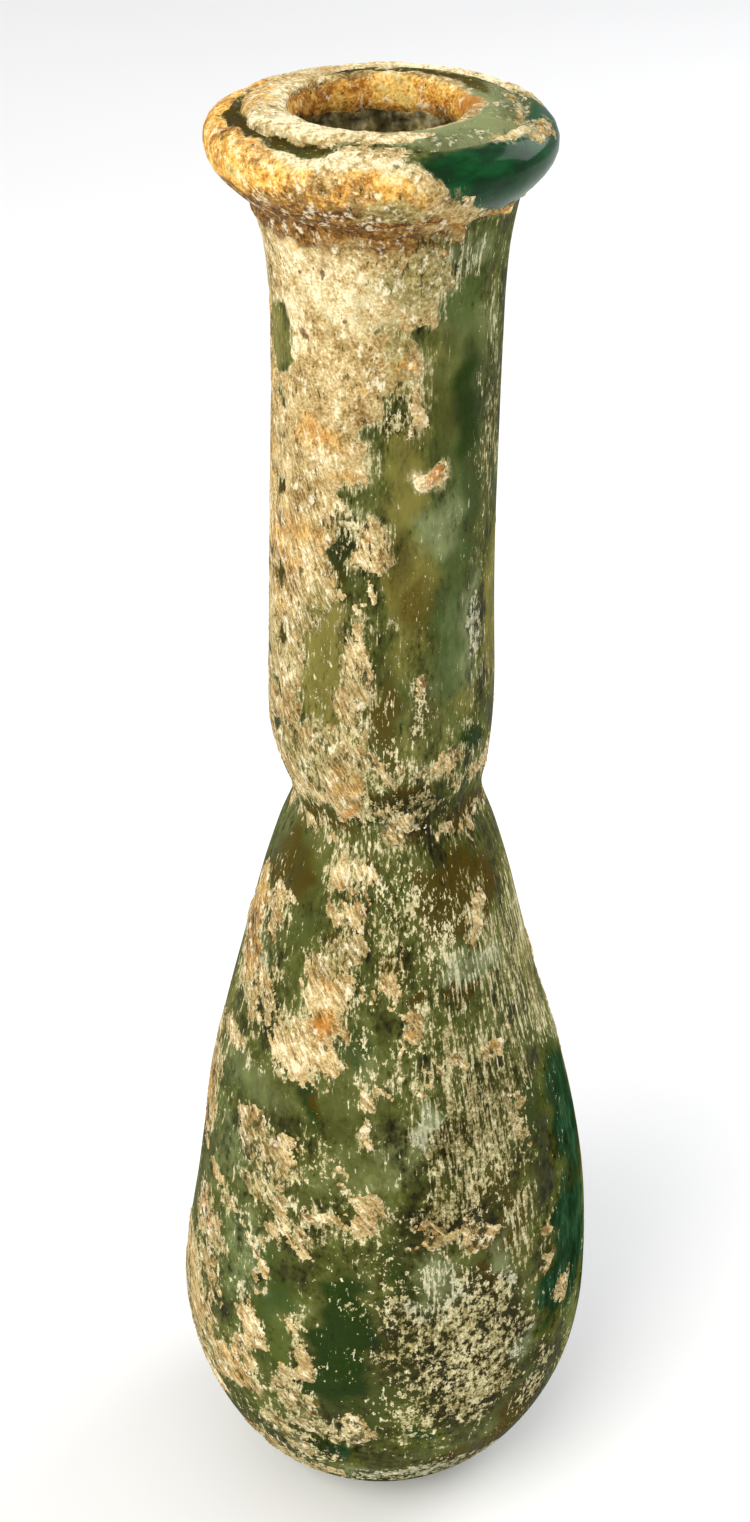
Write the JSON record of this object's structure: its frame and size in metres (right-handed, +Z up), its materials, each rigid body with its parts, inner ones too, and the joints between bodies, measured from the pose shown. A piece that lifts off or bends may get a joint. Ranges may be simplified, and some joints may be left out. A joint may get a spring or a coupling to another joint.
{
  "type": "roman glass bottle",
  "caption": "Small free-blown green glass unguentarium: pear-shaped body, nipped throat, long tubular neck and folded everted rim, weathered and crusted with earth.",
  "frame": {"origin": "on the surface that the bottle stands on, under the middle of the body; the resting ring's middle is 0.4 mm to its -X side", "axes": "+Z up along the bottle, +Y away from the side shown in front, +X to the right of that side"},
  "size_m": [0.0362, 0.0362, 0.125],
  "materials": {
    "glass": "weathered",
    "crust": "rough"
  },
  "bodies": {
    "root": {"bottle": "glass"}
  },
  "joints": []
}
